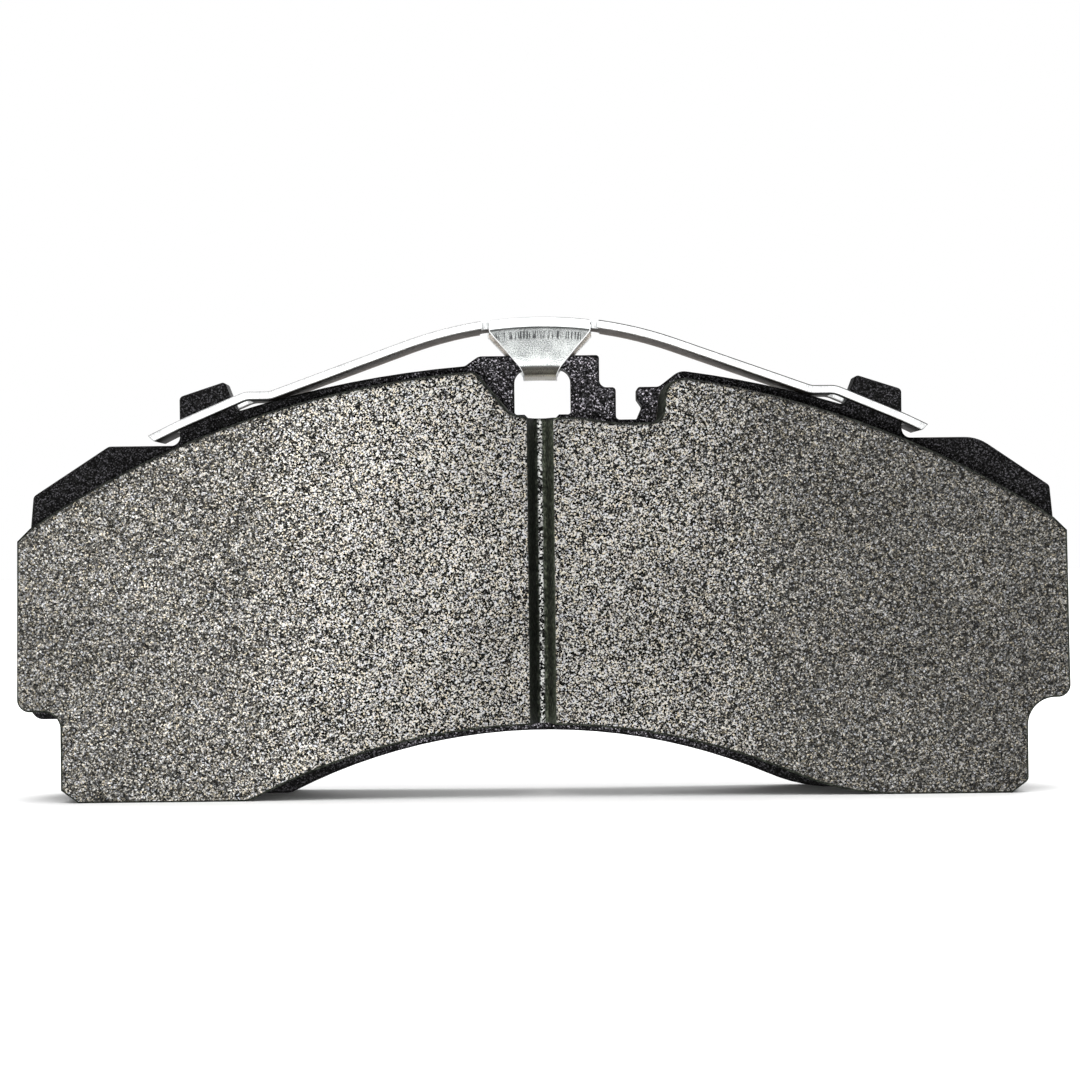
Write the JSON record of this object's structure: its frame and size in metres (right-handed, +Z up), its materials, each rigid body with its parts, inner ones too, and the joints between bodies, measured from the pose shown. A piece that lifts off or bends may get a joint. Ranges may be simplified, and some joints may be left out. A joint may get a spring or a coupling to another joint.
{
  "type": "air disc brake pad",
  "caption": "Heavy-vehicle disc brake pad: coated steel backing plate with lugs, moulded grooved friction lining and a sprung leaf retainer clipped along the top.",
  "frame": {"origin": "middle of the bounding box in plan, on the surface the pad's two feet stand on", "axes": "+X along the pad towards the wear-sensor slot's side, +Y from the friction face to the pressure face, +Z up towards the retaining spring"},
  "size_m": [0.2506, 0.0356, 0.1152],
  "materials": {
    "coated_plate": "fine-textured black powder coat with small metallic sparkle",
    "adhesive": "cured brown phenolic film",
    "underlayer": "coarse dark moulded composite",
    "friction_composite": "ground grey composite with pale, yellowish and bluish metallic chips",
    "zinc_plated_spring": "bright zinc-plated spring steel"
  },
  "bodies": {
    "pad": {"backing_plate": "coated_plate", "adhesive_film": "adhesive", "underlayer": "underlayer", "friction_lining": "friction_composite"},
    "crown": {"spring_crown": "zinc_plated_spring"},
    "arm_left": {"spring_arm_left": "zinc_plated_spring"},
    "arm_right": {"spring_arm_right": "zinc_plated_spring"}
  },
  "joints": [
    {"name": "spring_press", "type": "slide", "parent": "pad", "child": "crown", "axis": [0, 0, -1], "range_m": [0, 0.004], "stiffness_N_per_m": 4000},
    {"name": "arm_left_flex", "type": "hinge", "parent": "crown", "child": "arm_left", "pos_m": [-0.0331, 0.00775, 0.10944], "axis": [0, 1, 0], "range_deg": [0, 8.7]},
    {"name": "arm_right_flex", "type": "hinge", "parent": "crown", "child": "arm_right", "pos_m": [0.0331, 0.00775, 0.10944], "axis": [0, -1, 0], "range_deg": [0, 8.7]}
  ],
  "couplings": [
    {"joint": "arm_left_flex", "follows": "spring_press", "rad_per_m": 37},
    {"joint": "arm_right_flex", "follows": "spring_press", "rad_per_m": 37}
  ]
}
